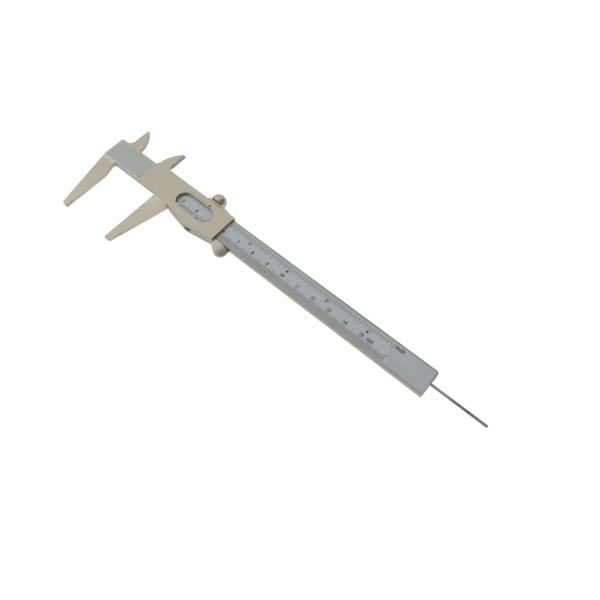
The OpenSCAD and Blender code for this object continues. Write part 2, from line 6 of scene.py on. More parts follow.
import bpy
from bpy.props import FloatProperty, FloatVectorProperty, IntProperty, PointerProperty
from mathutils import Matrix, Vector

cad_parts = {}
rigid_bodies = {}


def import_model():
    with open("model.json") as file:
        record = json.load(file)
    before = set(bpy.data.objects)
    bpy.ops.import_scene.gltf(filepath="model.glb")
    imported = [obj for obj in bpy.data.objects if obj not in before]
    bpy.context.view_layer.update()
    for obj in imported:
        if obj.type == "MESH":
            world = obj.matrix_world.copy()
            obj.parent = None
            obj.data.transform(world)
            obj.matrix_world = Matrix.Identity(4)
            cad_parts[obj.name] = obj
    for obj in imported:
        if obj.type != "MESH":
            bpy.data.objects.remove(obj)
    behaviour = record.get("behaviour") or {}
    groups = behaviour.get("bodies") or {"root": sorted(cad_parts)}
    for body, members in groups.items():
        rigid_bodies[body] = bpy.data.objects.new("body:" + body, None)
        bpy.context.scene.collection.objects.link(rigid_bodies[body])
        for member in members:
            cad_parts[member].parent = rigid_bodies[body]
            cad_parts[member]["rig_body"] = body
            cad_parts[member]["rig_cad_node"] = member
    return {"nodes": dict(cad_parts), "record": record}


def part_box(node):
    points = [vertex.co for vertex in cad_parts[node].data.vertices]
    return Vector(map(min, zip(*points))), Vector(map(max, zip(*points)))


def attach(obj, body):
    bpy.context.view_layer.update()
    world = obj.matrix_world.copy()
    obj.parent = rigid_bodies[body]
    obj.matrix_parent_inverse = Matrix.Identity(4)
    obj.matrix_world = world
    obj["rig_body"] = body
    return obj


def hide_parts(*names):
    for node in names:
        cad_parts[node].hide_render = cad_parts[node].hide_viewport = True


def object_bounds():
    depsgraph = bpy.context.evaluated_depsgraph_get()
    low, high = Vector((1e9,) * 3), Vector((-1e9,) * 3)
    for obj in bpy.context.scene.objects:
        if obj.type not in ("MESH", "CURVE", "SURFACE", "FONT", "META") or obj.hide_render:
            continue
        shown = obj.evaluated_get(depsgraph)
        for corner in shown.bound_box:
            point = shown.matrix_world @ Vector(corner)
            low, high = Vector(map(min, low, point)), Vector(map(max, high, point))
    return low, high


bl_info = {
    "name": "Vernier Caliper",
    "version": (1, 0, 0),
    "blender": (4, 5, 0),
    "location": "View3D > Sidebar > Caliper",
    "description": "Models and finishes the pieces of a vernier caliper around its packed frame",
    "category": "Object",
}

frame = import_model()
CAD_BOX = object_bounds()
MM = 0.001
CM = 10 * MM
INCH = 25.4 * MM

# Places that the frame gives
MOUNTS = {mount["name"]: Vector(mount["pos_m"]) for mount in frame["record"]["mounts"]}
OPENING = MOUNTS["outside_moving_face"].x
BEAM_MID_Y = MOUNTS["back_rest"].y
BEAM_LOW, BEAM_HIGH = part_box("main_beam")
FACE_Z = BEAM_HIGH.z
SLIDER_TOP_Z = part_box("slider_frame")[1].z
TABLE_Z = CAD_BOX[0].z
CLAMP_LOW, CLAMP_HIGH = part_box("clamp_screw")

# Distance for merging points, and angles in degrees for flattening, rounding and shading
WELD = 0.002 * MM
FLAT_ANGLE = 0.5
CURVE_ANGLE = 24.0
FINE_CURVE_ANGLE = 50.0
ROD_CURVE_ANGLE = 60.0
PLATE_SHADE = 35.0
SMALL_SHADE = 40.0
ROUND_SHADE = 50.0

# Parts of a normal that tell upright, flat and level faces apart, and the window's left end from the rest
UPRIGHT = 0.1
FLAT = 0.9
LEVEL = 0.99
LEFT_END = 0.25

# Where blades and jaws begin, from the beam's middle, and where the moving jaw ends, from its measuring face
BLADE_FOOT = 9 * MM
JAW_FOOT = 9.2 * MM
JAW_REACH = 13 * MM

# Crown of a line in its widths, height of a digit in its font's sizes, and rise of the vernier's numerals
# in their own heights
LINE_CROWN = 0.12
DIGIT_SHARE = 0.73
BEVEL_RISE = 1.0
FRONT_RISE = 0.6

# Directions, and how densely a finish's pattern lies along each axis, per metre
ALONG = (1.0, 0.0, 0.0)
ACROSS = (0.0, 1.0, 0.0)
UPWARD = (0.0, 0.0, 1.0)
ALONG_BEAM = (110.0, 6500.0, 6500.0)
ALONG_JAW = (6500.0, 110.0, 6500.0)
AROUND_KNOB = (900.0, 2600.0, 900.0)
EVEN = (900.0, 900.0, 900.0)
HAIRS = (130.0, 5200.0, 130.0)
PATCHES = 70.0

# Softness of the borders between tones
MARGIN_SOFT = 0.1 * MM
BAND_SOFT = 0.7 * MM
SIDE_SOFT = 1.6 * MM
WALL_SOFT = 0.3 * MM

# Ranges of noise that become lines, patches and scratches
LINE_NOISE = (0.3, 0.7)
PATCH_NOISE = (0.38, 0.68)
HAIR_NOISE = (0.70, 0.76)

# Steel: shares and tones of its lines and scratches, roughness that lines add, depths in its relief
STEEL_LINES = 0.07
STEEL_HAIRS = 0.25
LINE_TONE = 0.82
HAIR_TONE = 1.25
LINE_ROUGH = 0.05
HAIR_DEPTH = 0.8
GRAIN_HEIGHT = 0.01 * MM

# Satin face: shares of its patches, lines and scratches, tone of its lines, roughness, and relief
SATIN_PATCHES = 0.3
SATIN_LINES = 0.16
SATIN_HAIRS = 0.2
SATIN_LINE_TONE = 0.84
SATIN_ROUGH = (0.30, 0.40)
SATIN_RUB = -0.06
SATIN_GRAIN = 0.12

# Rim of the beam and fill of the lines: patches, roughness and relief
RIM_PATCHES = 0.3
RIM_ROUGH = (0.24, 0.34)
RIM_GRAIN = 0.08
FILL_ROUGH = (0.55, 0.38)

# Limits in the sky's directions: the softbox's side, its rise to full light, and the foot of the room
SKY_SIDE = (0.40, 0.05)
SKY_RISE = (0.15, 0.50)
ROOM_FOOT = (0.16, 0.02)


def length(name, description, value):
    """Property for a length, given in millimetres."""
    return FloatProperty(name=name, description=description, default=value * MM, unit="LENGTH", precision=6)


def angle(name, description, value):
    """Property for an angle, given in degrees."""
    return FloatProperty(name=name, description=description, default=math.radians(value), subtype="ANGLE")


def number(name, description, value, unit="NONE"):
    """Property for a number, in one of Blender's units where one fits."""
    return FloatProperty(name=name, description=description, default=value, unit=unit)


def count(name, description, value):
    """Property for a whole number."""
    return IntProperty(name=name, description=description, default=value, min=1)


def colour(name, description, value):
    """Property for a colour."""
    return FloatVectorProperty(
        name=name, description=description, default=value, subtype="COLOR", size=3, min=0.0, max=1.0
    )


class CaliperSizes(bpy.types.PropertyGroup):
    """Sizes of the edges, the scales and the clamp screw"""

    beam_w: length("Beam Width", "Width of the beam across its scale face", 14.4)
    beam_edge: length("Beam Edge", "Rounding along the edges of the beam and its jaw", 0.14)
    slider_edge: length("Slider Edge", "Rounding along the edges of the slider", 0.16)
    plate_edge: length("Plate Edge", "Rounding along the edges of the cover and the keeper", 0.12)
    lug_edge: length("Thumb Rest Edge", "Rounding along the edges of the thumb rest", 0.6)
    small_edge: length("Small Edge", "Rounding along the edges of screws, rivets, shoe and leaf", 0.05)
    rod_edge: length("Rod Edge", "Chamfer around the tip of the depth rod", 0.2)

    margin_w: length("Margin Width", "Width of the polished margins around the graduated face", 1.0)
    rub_start: length("Rubbed Margin", "Place along the beam where the rubbed margins end", 20)
    rub_end: length("Scale Margin", "Place along the beam where the margins have lost their polish", 75)
    dull_start: length("Dull Margin", "Place along the beam where the upper margin is dullest", 190)
    band_low: length("Numeral Band Low", "Distance from the beam's lower edge to the paler band", 4.6)
    band_high: length("Numeral Band High", "Distance from the beam's lower edge to the band's far side", 10.2)
    band_end: length("Numeral Band End", "Place along the beam where the paler band ends", 182)
    side_reach: length("Paler Sides", "Distance from the beam's middle to the slider's paler sides", 6.4)

    zero_x: length("Scale Zero", "Distance from the fixed measuring face to the zero of the scale", 16.4)
    line_h: length("Line Height", "Height of the filled lines above the steel", 0.012)
    line_sink: length("Line Depth", "Depth of the filled lines below the steel", 0.03)
    metric_w: length("Metric Line", "Width of a line of the metric scale", 0.24)
    metric_base: length("Metric Base", "Distance from the beam's lower edge to the metric lines", 1.1)
    metric_short: length("Metric Short", "Length of a millimetre line", 2.9)
    metric_five: length("Metric Five", "Length that the line halfway between two numerals gains", 1.2)
    metric_ten: length("Metric Ten", "Length that the line under a numeral gains", 0.6)
    metric_end: count("Metric End", "Last millimetre of the scale", 165)
    inch_w: length("Inch Line", "Width of a line of the inch scale", 0.2)
    inch_base: length("Inch Base", "Distance from the beam's upper edge to the inch lines", 2.1)
    inch_short: length("Inch Short", "Length of a line of the inch scale's finest step", 1.9)
    inch_step: length("Inch Step", "Length that a line gains at each coarser step", 0.35)
    inch_half: length("Inch Half", "Length that the line at a half inch gains", 0.8)
    inch_parts: count("Inch Parts", "Parts that an inch is divided into", 16)
    inch_end: number("Inch End", "Last reading of the inch scale", 6.5)

    numeral_h: length("Numeral Height", "Height of a numeral on the beam", 1.9)
    numeral_bold: length("Numeral Weight", "Extra weight of the numerals' strokes", 0.08)
    metric_last: count("Last Centimetre", "Last numeral of the metric scale", 15)
    metric_numeral_y: length("Metric Numeral", "Distance from the beam's lower edge to the cm numerals", 5.8)
    inch_last: count("Last Inch", "Last numeral of the inch scale", 6)
    inch_numeral_y: length("Inch Numeral", "Distance from the beam's lower edge to the inch numerals", 8.95)
    inch_numeral_back: length("Inch Numeral Step", "Distance of an inch numeral on the left of its line", 1.1)
    unit_h: length("Unit Mark Height", "Height of the unit marks on the beam", 2.3)
    metric_unit_x: length("Metric Unit", "Distance from the scale's zero to the metric unit mark", 155.1)
    metric_unit_rise: length("Metric Unit Rise", "Rise of the metric unit mark above its numerals", 0.3)
    inch_unit_x: length("Inch Unit", "Distance from the scale's zero to the inch unit mark", 168.8)
    inch_unit_y: length("Inch Unit Place", "Distance from the beam's lower edge to the inch unit mark", 11.6)

    window_start: length("Window Start", "Distance from the moving measuring face to the sight window", 12.0)
    window_len: length("Window Length", "Length of the sight window at the slider's front", 24.0)
    window_h: length("Window Height", "Height of the sight window at the slider's front", 9.8)
    window_bevel: length("Window Bevel", "Width of the bevel on the sight window's lower side", 2.1)
    window_drop: length("Window Drop", "Distance of the window's middle below the beam's middle", 1.0)
    window_lip: length("Window Lip", "Height of the bevel's lower rim above the scale face", 0.48)
    # Painted shade: how far down the window's left wall its dark tone reaches
    wall_shade: length("Window Shade", "Depth of the dull shade on the window's left wall", 0.7)

    vernier_w: length("Vernier Line", "Width of a line of the vernier", 0.16)
    vernier_len: length("Vernier Length", "Length of a short line of the vernier", 1.0)
    vernier_long: number("Long Vernier Line", "Length of a long line of the vernier, in short lines", 1.35)
    vernier_start: length("Vernier Start", "Distance from the window's edge to the vernier's lines", 0.3)
    vernier_parts: count("Vernier Parts", "Parts of the metric vernier", 10)
    vernier_span: length("Vernier Span", "Length of the metric vernier", 9.0)
    vernier_numeral: length("Vernier Numeral", "Height of a numeral beside a vernier", 1.5)
    vernier_step: length("Vernier Numeral Step", "Distance from the metric vernier to its numeral", 4.2)
    inch_vernier_step: length("Inch Vernier Step", "Distance from the inch vernier to its numeral", 2.2)
    inch_vernier_parts: count("Inch Vernier Parts", "Parts of the inch vernier", 8)

    ball_lift: length("Ball Lift", "Height of the clamp screw's ball above its flat seat", 1.4)
    shank_d: length("Clamp Shank", "Diameter of the clamp screw's shank", 3.0)


class CaliperColours(bpy.types.PropertyGroup):
    """Colours of the steel, the brass and the fill of the lines"""

    satin: colour("Satin Face", "Satin chrome of the graduated face", (0.455, 0.49, 0.50))
    near_satin: colour("Rubbed Satin", "Satin chrome of the face, near the jaws", (0.464, 0.48, 0.4525))
    band: colour("Numeral Band", "Paler band that the numerals stand on", (0.50, 0.54, 0.55))
    margin: colour("Face Margin", "Rubbed margins of the face, near the jaws", (0.60, 0.575, 0.50))
    scale_margin: colour("Scale Margin", "Margins of the face, along the scales", (0.375, 0.37, 0.325))
    dull_margin: colour("Dull Margin", "Upper margin of the face, at its end", (0.235, 0.238, 0.212))
    wall: colour("Beam Wall", "Ground sides of the beam", (0.57, 0.56, 0.475))
    warm: colour("Warm Steel", "Polished nickel of the slider and the jaws", (0.575, 0.505, 0.395))
    warm_tint: colour("Warm Tint", "Paler patches in the polished nickel", (0.56, 0.53, 0.435))
    window: colour("Window Bevel", "Satin chrome around the sight window", (0.60, 0.61, 0.585))
    # Painted shade: a near-black tone that stands in for the shade on the window's left wall and the shadow
    # it casts
    window_wall: colour("Window Wall", "Dull wall at the sight window's left end", (0.14, 0.135, 0.115))
    # Painted light: this pale tone lightens the knife slopes and the jaws' right walls, which turn towards
    # the dim side; their ground finish is real
    knife: colour("Knife Edge", "Ground steel along the knife edges of the blades", (0.84, 0.79, 0.69))
    edge: colour("Bright Edge", "Rubbed steel along the edges", (0.68, 0.63, 0.55))
    knob: colour("Clamp Screw", "Polished steel of the clamp screw", (0.60, 0.52, 0.42))
    wire: colour("Depth Rod", "Drawn wire of the depth rod", (0.145, 0.14, 0.122))
    turned: colour("Screws", "Turned steel of the small screws and rivets", (0.42, 0.41, 0.39))
    leaf: colour("Leaf", "Blued steel of the leaf", (0.13, 0.14, 0.18))
    brass: colour("Shoe", "Brass of the clamp shoe", (0.62, 0.43, 0.16))
    fill: colour("Line Fill", "Black fill of the lines and numerals", (0.018, 0.020, 0.021))
    worn_fill: colour("Worn Fill", "Rubbed fill of the lines and numerals", (0.06, 0.064, 0.064))


class CaliperStage(bpy.types.PropertyGroup):
    """Camera, light and floor"""

    azimuth: angle("Azimuth", "Camera's turn from the front", 40.46)
    elevation: angle("Elevation", "Camera's angle above the floor", 62.77)
    distance: length("Distance", "Distance from the camera to the point that it looks at", 293.1)
    aim_x: length("Aim X", "Point on the beam's face that the camera looks at, along the beam", 132.3)
    aim_y: length("Aim Y", "Point on the beam's face that the camera looks at, across the beam", 23.5)
    lens: number("Lens", "Focal length, in millimetres", 36.0, unit="CAMERA")
    sensor: number("Sensor", "Width of the camera's sensor, in millimetres", 36.0, unit="CAMERA")
    clip_start: length("Clip Start", "Nearest distance that the camera sees", 10)
    clip_end: length("Clip End", "Farthest distance that the camera sees", 20000)
    floor_size: length("Floor", "Length of the floor's sides", 6000)
    floor_glow: number("Floor Glow", "Brightness of the pale floor itself", 1.0)
    floor_light: number("Floor Light", "Light that the floor throws on the steel", 0.6)
    sky_bright: number("Softbox", "Brightness of the soft light on the left", 0.80)
    sky_dim: number("Room", "Brightness of the room on the right", 0.24)
    sky_low: number("Left Horizon", "Share of the soft light near the horizon", 0.55)
    sky_far: number("Right Horizon", "Brightness of the room near the floor", 0.45)
    key: number("Key", "Power of the key light, in watts", 0.25, unit="POWER")
    key_size: length("Key Size", "Length of the key light's sides", 350)
    key_distance: length("Key Distance", "Distance from the origin to the key light", 700)
    key_side: FloatVectorProperty(
        name="Key Side", description="Direction of the key light", default=(-0.75, -0.1, 0.65),
        subtype="DIRECTION",
    )


# Small steps of modelling

def select_none():
    """Deselect everything, before a new object is added."""
    bpy.ops.object.select_all(action="DESELECT")


def only(obj):
    """Select one object and make it the active one."""
    select_none()
    obj.select_set(True)
    bpy.context.view_layer.objects.active = obj
    return obj


def edit(obj, mode="FACE"):
    """Open the object in edit mode."""
    only(obj)
    bpy.ops.object.mode_set(mode="EDIT")
    bpy.ops.mesh.select_mode(type=mode)


def edit_all(obj, mode="FACE"):
    """Open the object in edit mode with everything selected."""
    edit(obj, mode)
    bpy.ops.mesh.select_all(action="SELECT")


def leave():
    """Close edit mode."""
    bpy.ops.object.mode_set(mode="OBJECT")


def pick_faces(obj, test):
    """Open the object in edit mode with the faces selected that pass the test."""
    only(obj)
    mesh = obj.data
    mesh.vertices.foreach_set("select", [False] * len(mesh.vertices))
    mesh.edges.foreach_set("select", [False] * len(mesh.edges))
    mesh.polygons.foreach_set("select", [bool(test(face)) for face in mesh.polygons])
    edit(obj)


def use_modifier(obj, kind, **settings):
    """Add a modifier with these settings and apply it."""
    only(obj)
    made = obj.modifiers.new(kind.title(), kind)
    for key, value in settings.items():
        setattr(made, key, value)
    bpy.ops.object.modifier_apply(modifier=made.name)


def settle(obj):
    """Put the object's place, turn and scale into its mesh."""
    only(obj)
    bpy.ops.object.transform_apply(location=True, rotation=True, scale=True)
    return obj


def join(name, objs):
    """Join objects into the first and name it."""
    only(objs[0])
    for obj in objs[1:]:
        obj.select_set(True)
    bpy.ops.object.join()
    objs[0].name = name
    objs[0].data.name = name
    return objs[0]


def smooth(obj, crease):
    """Smooth shading over edges flatter than the crease in degrees, with wide faces kept flat."""
    only(obj)
    bpy.ops.object.shade_smooth_by_angle(angle=math.radians(crease))
    use_modifier(obj, "WEIGHTED_NORMAL", keep_sharp=True)


def copy_node(node, name):
    """Copy of a CAD node as one closed mesh with flat faces."""
    obj = frame["nodes"][node].copy()
    obj.data = obj.data.copy()
    obj.parent = None
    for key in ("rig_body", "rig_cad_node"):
        del obj[key]
    obj.name = name
    obj.data.name = name
    obj.data.materials.clear()
    bpy.context.collection.objects.link(obj)
    edit_all(obj, "VERT")
    bpy.ops.mesh.remove_doubles(threshold=WELD)
    bpy.ops.mesh.dissolve_limited(angle_limit=math.radians(FLAT_ANGLE))
    leave()
    return obj


def give(obj, *finishes):
    """Material slots of a piece, in order."""
    obj.data.materials.clear()
    for finish in finishes:
        obj.data.materials.append(finish)


def slot_of(obj, finish):
    """Number of a finish's slot on a piece, or -1 where a new face takes its neighbour's."""
    return obj.data.materials.find(finish.name) if finish else -1


def paint(obj, finish, test):
    """Assign a finish to the faces that pass the test."""
    pick_faces(obj, test)
    obj.active_material_index = slot_of(obj, finish)
    bpy.ops.object.material_slot_assign()
    leave()


def round_edges(obj, width, segments=3, curve=CURVE_ANGLE, rim=None):
    """Round the edges that are sharper than the curve in degrees, with a finish of their own or none."""
    use_modifier(
        obj, "BEVEL", width=width, segments=segments, limit_method="ANGLE",
        angle_limit=math.radians(curve), material=slot_of(obj, rim), use_clamp_overlap=True,
    )


def stands_for(obj, body, slot, *nodes):
    """Let a finished piece ride on its body and stand for its CAD nodes."""
    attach(obj, body)
    if nodes:
        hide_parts(*nodes)


def finished_copy(
    node, name, place, finishes, edge, segments=2, curve=FINE_CURVE_ANGLE, crease=SMALL_SHADE, rim=None
):
    """Copy of a CAD node with its finishes and rounded edges. Its place is its body and its slot, and the
    slot is not used.
    """
    piece = copy_node(node, name)
    give(piece, *finishes)
    round_edges(piece, edge, segments, curve, rim)
    smooth(piece, crease)
    stands_for(piece, *place, node)


# Shader groups that several finishes share

def new_group(name, inputs, outputs):
    """Shader node group with the named sockets, and its input and output nodes."""
    tree = bpy.data.node_groups.new(name, "ShaderNodeTree")
    for socket, kind, value in inputs:
        tree.interface.new_socket(socket, in_out="INPUT", socket_type=kind).default_value = value
    for socket, kind in outputs:
        tree.interface.new_socket(socket, in_out="OUTPUT", socket_type=kind)
    return tree, tree.nodes.new("NodeGroupInput"), tree.nodes.new("NodeGroupOutput")


def plug(tree, socket, value):
    """Link another node's socket to a socket, or set its value."""
    if isinstance(value, bpy.types.NodeSocket):
        tree.links.new(value, socket)
    else:
        socket.default_value = value


def add(tree, kind, sockets=None, **settings):
    """Node with its settings, and with values or links on its sockets."""
    made = tree.nodes.new(kind)
    for key, value in settings.items():
        setattr(made, key, value)
    for key, value in (sockets or {}).items():
        plug(tree, made.inputs[key], value)
    return made


def remap(tree, value, low, high, to_low=0.0, to_high=1.0):
    """Value mapped from one range to another, with its ends held."""
    sockets = {"Value": value, "From Min": low, "From Max": high, "To Min": to_low, "To Max": to_high}
    return add(tree, "ShaderNodeMapRange", sockets).outputs["Result"]


def calc(tree, operation, first, second):
    """Result of an operation on two values."""
    return add(tree, "ShaderNodeMath", {0: first, 1: second}, operation=operation).outputs[0]


def mix(tree, mask, first, second):
    """Colour mixed by a mask."""
    made = add(tree, "ShaderNodeMix", data_type="RGBA")
    for name, value in (("Factor_Float", mask), ("A_Color", first), ("B_Color", second)):
        plug(tree, next(socket for socket in made.inputs if socket.identifier == name), value)
    return next(socket for socket in made.outputs if socket.identifier == "Result_Color")


def here(tree):
    """Place on the piece, in metres."""
    return add(tree, "ShaderNodeTexCoord").outputs["Object"]


def stretch_by(tree, place, stretch):
    """Place with each axis drawn out by its own factor."""
    return add(tree, "ShaderNodeVectorMath", {0: place, 1: stretch}, operation="MULTIPLY").outputs[0]


def noise_mask(tree, limits, **settings):
    """Mask of the noise between two limits."""
    sockets = {key.title(): value for key, value in settings.items()}
    return remap(tree, add(tree, "ShaderNodeTexNoise", sockets).outputs[0], *limits)


def brushed_lines():
    """Group for the fine lines of grinding, stretched along one direction."""
    tree, given, result = new_group(
        "Brushed Lines",
        [("Stretch", "NodeSocketVector", ALONG_BEAM)],
        [("Lines", "NodeSocketFloat")],
    )
    stretched = stretch_by(tree, here(tree), given.outputs["Stretch"])
    lines = noise_mask(tree, LINE_NOISE, vector=stretched, scale=1.0, detail=3.0)
    tree.links.new(lines, result.inputs["Lines"])
    return tree


def handling_marks():
    """Group for soft patches where hands have rubbed the steel."""
    tree, given, result = new_group(
        "Handling Marks",
        [("Per Metre", "NodeSocketFloat", PATCHES)],
        [("Mask", "NodeSocketFloat")],
    )
    size = given.outputs["Per Metre"]
    patches = noise_mask(tree, PATCH_NOISE, vector=here(tree), scale=size, detail=4.0, distortion=0.7)
    tree.links.new(patches, result.inputs["Mask"])
    return tree


def hair_scratches():
    """Group for a few hair scratches that run at an angle across the steel."""
    tree, given, result = new_group(
        "Hair Scratches",
        [("Turn", "NodeSocketFloat", 0.0)],
        [("Mask", "NodeSocketFloat")],
    )
    sockets = {"Vector": here(tree), "Angle": given.outputs["Turn"]}
    turned = add(tree, "ShaderNodeVectorRotate", sockets, rotation_type="Z_AXIS").outputs[0]
    hairs = noise_mask(tree, HAIR_NOISE, vector=stretch_by(tree, turned, HAIRS), scale=1.0, detail=1.0)
    tree.links.new(hairs, result.inputs["Mask"])
    return tree


def band_across():
    """Group for a band between two planes that stand square to a direction."""
    tree, given, result = new_group(
        "Band Across",
        [
            ("Direction", "NodeSocketVector", ACROSS),
            ("Low", "NodeSocketFloat", 0.0),
            ("High", "NodeSocketFloat", 1.0),
            ("Soft", "NodeSocketFloat", MARGIN_SOFT),
        ],
        [("Mask", "NodeSocketFloat")],
    )
    sockets = {0: here(tree), 1: given.outputs["Direction"]}
    along = add(tree, "ShaderNodeVectorMath", sockets, operation="DOT_PRODUCT").outputs["Value"]
    low, high, soft = (given.outputs[name] for name in ("Low", "High", "Soft"))
    above = remap(tree, along, calc(tree, "SUBTRACT", low, soft), calc(tree, "ADD", low, soft))
    below = remap(tree, along, calc(tree, "ADD", high, soft), calc(tree, "SUBTRACT", high, soft))
    tree.links.new(calc(tree, "MULTIPLY", above, below), result.inputs["Mask"])
    return tree


def rubbed_part():
    """Group for the part of the beam on the left, fading between two places along it."""
    tree, given, result = new_group(
        "Rubbed Part",
        [("Start", "NodeSocketFloat", 0.0), ("End", "NodeSocketFloat", 1.0)],
        [("Mask", "NodeSocketFloat")],
    )
    x = add(tree, "ShaderNodeSeparateXYZ", {0: here(tree)}).outputs["X"]
    mask = remap(tree, x, given.outputs["End"], given.outputs["Start"])
    tree.links.new(mask, result.inputs["Mask"])
    return tree


def shared(build):
    """The node group that a function builds, made once."""
    name = build.__name__.replace("_", " ").title()
    return bpy.data.node_groups.get(name) or build()


def use_group(tree, build, **sockets):
    """Place a shared group in a material with its own values."""
    made = add(tree, "ShaderNodeGroup", node_tree=shared(build))
    for key, value in sockets.items():
        made.inputs[key.replace("_", " ").title()].default_value = value
    return made.outputs[0]


# Finishes

def rgba(tone):
    """Colour with full opacity."""
    return (*tone, 1.0)


def grey(brightness):
    """Grey of a brightness, with full opacity."""
    return rgba((brightness,) * 3)


def toned_by(tone, factor):
    """Darker or lighter tone of a colour, with full opacity."""
    return rgba(min(1.0, factor * part) for part in tone)


def new_material(name):
    """Material with a bare metal shader, and its tree."""
    made = bpy.data.materials.new(name)
    made.use_nodes = True
    shader = made.node_tree.nodes["Principled BSDF"]
    shader.inputs["Metallic"].default_value = 1.0
    return made, made.node_tree, shader


def emboss(tree, shader, height, strength):
    """Give the surface the relief of a height."""
    sockets = {"Height": height, "Strength": strength, "Distance": GRAIN_HEIGHT}
    tree.links.new(add(tree, "ShaderNodeBump", sockets).outputs[0], shader.inputs["Normal"])


def grind(tree, shader, toned, lines, hairs, line_tone, hair_tone, grain):
    """Draw grinding lines and scratches on a toned surface. Each of their tones is a share and a colour."""
    lined = mix(tree, calc(tree, "MULTIPLY", lines, line_tone[0]), toned, line_tone[1])
    scored = mix(tree, calc(tree, "MULTIPLY", hairs, hair_tone[0]), lined, hair_tone[1])
    tree.links.new(scored, shader.inputs["Base Color"])
    emboss(tree, shader, calc(tree, "SUBTRACT", lines, calc(tree, "MULTIPLY", hairs, HAIR_DEPTH)), grain)


def steel(name, base, tint, stretch, rough=(0.24, 0.34), grain=0.05, turn=0.5, band=None):
    """Ground or polished metal: two close tones, fine lines, rubbed patches and hair scratches.

    A band gives its direction, its low and high sides and their softness. Outside it, the metal has the
    second tone.
    """
    found = bpy.data.materials.get(name)
    if found:
        return found
    made, tree, shader = new_material(name)
    lines = use_group(tree, brushed_lines, stretch=stretch)
    marks = use_group(tree, handling_marks)
    hairs = use_group(tree, hair_scratches, turn=turn)
    if band:
        direction, low, high, soft = band
        middle = use_group(tree, band_across, direction=direction, low=low, high=high, soft=soft)
        marks = calc(tree, "MAXIMUM", marks, remap(tree, middle, 1.0, 0.0))
    toned = mix(tree, marks, rgba(base), rgba(tint))
    line_tone = (STEEL_LINES, toned_by(base, LINE_TONE))
    hair_tone = (STEEL_HAIRS, toned_by(base, HAIR_TONE))
    grind(tree, shader, toned, lines, hairs, line_tone, hair_tone, grain)
    rubbed = remap(tree, marks, 0.0, 1.0, *rough)
    roughness = calc(tree, "ADD", rubbed, calc(tree, "MULTIPLY", lines, LINE_ROUGH))
    tree.links.new(roughness, shader.inputs["Roughness"])
    return made


def bar_edges(context):
    """Lower and upper edge of the bar, across it."""
    half = context.scene.caliper_sizes.beam_w / 2
    return BEAM_MID_Y - half, BEAM_MID_Y + half


def margin_tone(context, tree, near):
    """Colour of the beam's margins: one tone near the jaws, dull along the scales, dullest at the far top."""
    colours, sizes = context.scene.caliper_colours, context.scene.caliper_sizes
    rubbed = use_group(tree, rubbed_part, start=sizes.rub_start, end=sizes.rub_end)
    fading = use_group(tree, rubbed_part, start=sizes.rub_end, end=sizes.dull_start)
    lower = use_group(
        tree, band_across, direction=ACROSS, low=BEAM_MID_Y - sizes.beam_w, high=BEAM_MID_Y, soft=BAND_SOFT
    )
    upper = mix(tree, fading, rgba(colours.dull_margin), rgba(colours.scale_margin))
    dull = mix(tree, lower, upper, rgba(colours.scale_margin))
    return mix(tree, rubbed, dull, rgba(near))


def face_panel(tree, across, along, soft):
    """Mask of a panel on the beam's face, between two places across the beam and two along it."""
    rows = use_group(tree, band_across, direction=ACROSS, low=across[0], high=across[1], soft=soft)
    columns = use_group(tree, band_across, direction=ALONG, low=along[0], high=along[1], soft=MARGIN_SOFT)
    return calc(tree, "MULTIPLY", rows, columns)


def satin_face(context):
    """Satin chrome between polished margins, with a paler band for the numerals and lines along the beam."""
    colours, sizes = context.scene.caliper_colours, context.scene.caliper_sizes
    made, tree, shader = new_material("satin_face")
    low, high = bar_edges(context)
    edge = sizes.margin_w
    inner = face_panel(
        tree, (low + edge, high - edge), (BEAM_LOW.x + edge, BEAM_HIGH.x - edge), MARGIN_SOFT
    )
    numerals = face_panel(
        tree, (low + sizes.band_low, low + sizes.band_high), (OPENING, sizes.band_end), BAND_SOFT
    )
    lines = use_group(tree, brushed_lines, stretch=ALONG_BEAM)
    marks = use_group(tree, handling_marks, per_metre=45.0)
    hairs = use_group(tree, hair_scratches, turn=0.25)
    near = use_group(tree, rubbed_part, start=sizes.rub_start, end=sizes.rub_end)
    chrome = mix(tree, near, rgba(colours.satin), rgba(colours.near_satin))
    satin = mix(tree, numerals, chrome, rgba(colours.band))
    plain = mix(tree, inner, margin_tone(context, tree, colours.margin), satin)
    toned = mix(tree, calc(tree, "MULTIPLY", marks, SATIN_PATCHES), plain, rgba(colours.band))
    line_tone = (SATIN_LINES, toned_by(colours.satin, SATIN_LINE_TONE))
    hair_tone = (SATIN_HAIRS, rgba(colours.margin))
    grind(tree, shader, toned, lines, hairs, line_tone, hair_tone, SATIN_GRAIN)
    flat = remap(tree, inner, 0.0, 1.0, *SATIN_ROUGH)
    roughness = calc(tree, "ADD", flat, calc(tree, "MULTIPLY", marks, SATIN_RUB))
    tree.links.new(roughness, shader.inputs["Roughness"])
    return made


def beam_rim(context):
    """Rounded edges of the bar: rubbed bright near the jaws and dull along the scales."""
    colours = context.scene.caliper_colours
    made, tree, shader = new_material("beam_rim")
    marks = use_group(tree, handling_marks, per_metre=120.0)
    plain = margin_tone(context, tree, colours.edge)
    toned = mix(tree, calc(tree, "MULTIPLY", marks, RIM_PATCHES), plain, rgba(colours.wall))
    tree.links.new(toned, shader.inputs["Base Color"])
    tree.links.new(remap(tree, marks, 0.0, 1.0, *RIM_ROUGH), shader.inputs["Roughness"])
    emboss(tree, shader, use_group(tree, brushed_lines, stretch=ALONG_BEAM), RIM_GRAIN)
    return made


def line_fill(context):
    """Black fill of the lines, rubbed grey in places."""
    name = "line_fill"
    found = bpy.data.materials.get(name)
    if found:
        return found
    colours = context.scene.caliper_colours
    made, tree, shader = new_material(name)
    shader.inputs["Metallic"].default_value = 0.0
    marks = use_group(tree, handling_marks, per_metre=240.0)
    tree.links.new(mix(tree, marks, rgba(colours.fill), rgba(colours.worn_fill)), shader.inputs["Base Color"])
    tree.links.new(remap(tree, marks, 0.0, 1.0, *FILL_ROUGH), shader.inputs["Roughness"])
    return made


